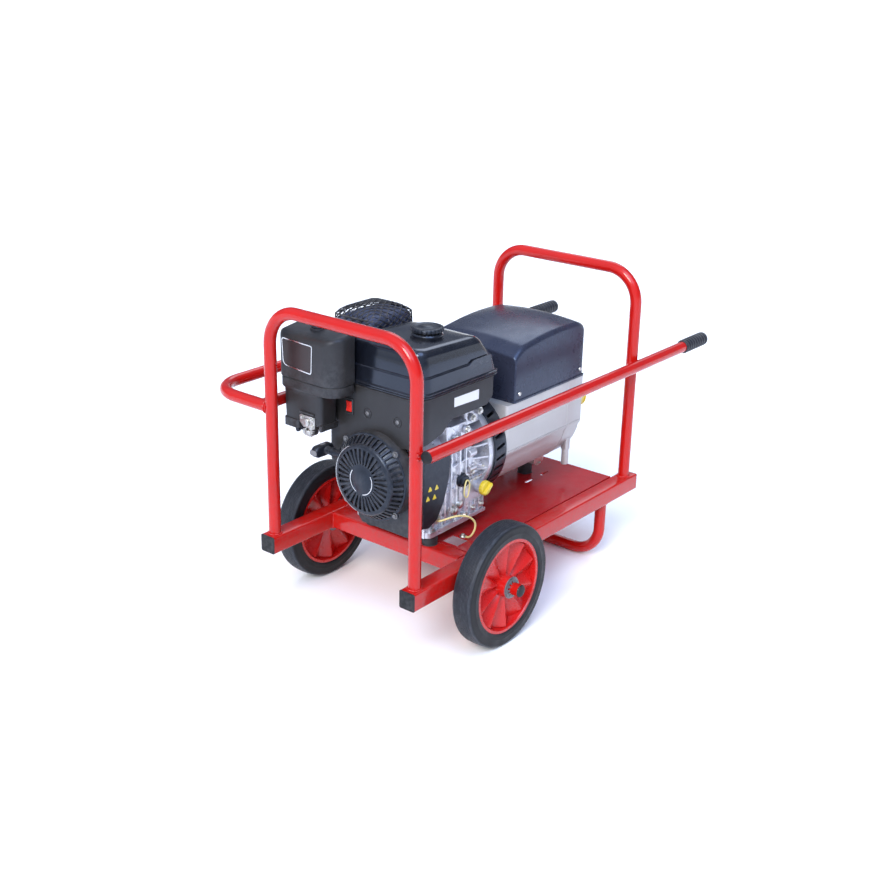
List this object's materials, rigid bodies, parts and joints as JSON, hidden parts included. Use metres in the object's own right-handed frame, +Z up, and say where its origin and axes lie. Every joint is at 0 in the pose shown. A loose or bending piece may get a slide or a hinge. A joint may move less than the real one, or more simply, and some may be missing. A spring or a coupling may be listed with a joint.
{
  "type": "portable petrol generator",
  "caption": "Barrow-mounted petrol generator: slanted single-cylinder engine and alternator on a red tube frame with wheels, guard bar, lifting hoops and long handles.",
  "frame": {"origin": "middle of the whole object's box, on the ground plane under the wheels and the rear stand", "axes": "+X from the starter end to the handle grips, +Y to the guard bar's side, +Z up"},
  "size_m": [1.113, 0.7186, 0.7145],
  "materials": {
    "frame_red": "glossy powder coat",
    "deck_red": "glossy powder coat",
    "black_cap": "semi-gloss",
    "grip_rubber": "satin",
    "zinc": "zinc plated",
    "rim_red": "gloss",
    "tyre": "matte",
    "nylon": "satin",
    "cast_aluminium": "as cast",
    "shroud": "satin",
    "black_plastic": "semi-gloss",
    "tank_black": "gloss",
    "filter_paper": "matte",
    "carb_alloy": "satin",
    "exhaust_steel": "heat-darkened",
    "guard_steel": "satin black",
    "ceramic": "satin",
    "mount_rubber": "matte",
    "steel": "machined",
    "cast_iron": "as cast",
    "winding": "varnished copper",
    "rope": "braided",
    "switch_red": "gloss",
    "yellow": "gloss",
    "case_silver": "painted silver",
    "cover_black": "semi-gloss",
    "lead_insulation": "satin"
  },
  "bodies": {
    "chassis": {"rail_left": "frame_red", "rail_right": "frame_red", "crossmembers": "frame_red", "deck_plate": "deck_red", "front_hoop": "frame_red", "rear_hoop": "frame_red", "handle_left": "frame_red", "handle_right": "frame_red", "guard_bar": "frame_red", "axle": "frame_red", "rear_stand": "frame_red", "rail_caps": "black_cap", "round_caps": "black_cap", "grips": "grip_rubber", "axle_washers": "zinc", "crankcase": "cast_aluminium", "crankcase_cover": "cast_aluminium", "cylinder_head": "cast_aluminium", "rocker_cover": "black_plastic", "blower_housing": "shroud", "recoil_cover": "black_plastic", "fuel_tank": "tank_black", "air_cleaner_base": "shroud", "air_filter": "filter_paper", "air_cleaner_cover": "shroud", "carburettor": "carb_alloy", "muffler": "exhaust_steel", "muffler_guard": "guard_steel", "spark_plug": "ceramic", "side_panel": "black_plastic", "rubber_mounts": "mount_rubber", "piston": "cast_aluminium", "connecting_rod": "steel", "alternator_adapter": "black_plastic", "alternator_case": "case_silver", "stator": "winding", "terminal_cover": "cover_black", "alternator_foot": "zinc", "bearings": "steel", "outlet_socket": "yellow", "earth_lead": "lead_insulation", "cover_screws": "zinc"},
    "wheel_left": {"rim_left": "rim_red", "tyre_left": "tyre", "bush_left": "nylon"},
    "wheel_right": {"rim_right": "rim_red", "tyre_right": "tyre", "bush_right": "nylon"},
    "crank": {"crankshaft": "steel", "flywheel": "cast_iron", "alternator_rotor": "cast_iron"},
    "pulley": {"starter_pulley": "black_plastic"},
    "starter_grip": {"pull_handle": "black_plastic", "starter_rope": "rope"},
    "switch": {"stop_switch": "switch_red"},
    "cap": {"tank_cap": "black_plastic"},
    "cleaner_knob": {"air_cleaner_knob": "black_plastic"},
    "choke": {"choke_lever": "black_plastic"},
    "oil_cap": {"oil_plug": "yellow"},
    "lid": {"socket_lid": "yellow"}
  },
  "joints": [
    {"name": "wheel_left_spin", "type": "hinge", "parent": "chassis", "child": "wheel_left", "pos_m": [-0.3155, 0.21035, 0.1375], "axis": [0, 1, 0], "continuous": true},
    {"name": "wheel_right_spin", "type": "hinge", "parent": "chassis", "child": "wheel_right", "pos_m": [-0.3155, -0.30285, 0.1375], "axis": [0, 1, 0], "continuous": true},
    {"name": "crank_spin", "type": "hinge", "parent": "chassis", "child": "crank", "pos_m": [-0.3175, -0.05025, 0.353], "axis": [1, 0, 0], "continuous": true},
    {"name": "starter_pull", "type": "slide", "parent": "chassis", "child": "starter_grip", "axis": [0, 1, 0], "range_m": [0, 0.14], "stiffness_N_per_m": 60, "springref_m": -0.08},
    {"name": "pulley_turn", "type": "hinge", "parent": "chassis", "child": "pulley", "pos_m": [-0.4585, -0.05025, 0.353], "axis": [1, 0, 0], "range_deg": [-240, 0]},
    {"name": "switch_rock", "type": "hinge", "parent": "chassis", "child": "switch", "pos_m": [-0.4235, 0.02775, 0.488], "axis": [0, 1, 0], "range_deg": [-10, 10]},
    {"name": "cap_turn", "type": "hinge", "parent": "chassis", "child": "cap", "pos_m": [-0.2955, -0.07425, 0.646], "axis": [0, 0, 1], "range_deg": [0, 90]},
    {"name": "cleaner_knob_turn", "type": "hinge", "parent": "chassis", "child": "cleaner_knob", "pos_m": [-0.4525, 0.09075, 0.66], "axis": [0, 0, 1], "continuous": true},
    {"name": "choke_turn", "type": "hinge", "parent": "chassis", "child": "choke", "pos_m": [-0.4765, 0.10975, 0.436], "axis": [1, 0, 0], "range_deg": [-60, 0]},
    {"name": "oil_plug_turn", "type": "hinge", "parent": "chassis", "child": "oil_cap", "pos_m": [-0.1945, -0.15825, 0.28], "axis": [0, -1, 0], "continuous": true},
    {"name": "lid_swing", "type": "hinge", "parent": "chassis", "child": "lid", "pos_m": [0.2065, -0.12425, 0.423], "axis": [0, -1, 0], "range_deg": [0, 110], "stiffness_Nm_per_rad": 0.03, "springref_deg": -34.38}
  ],
  "couplings": [
    {"joint": "pulley_turn", "follows": "starter_pull", "rad_per_m": -29.412}
  ]
}
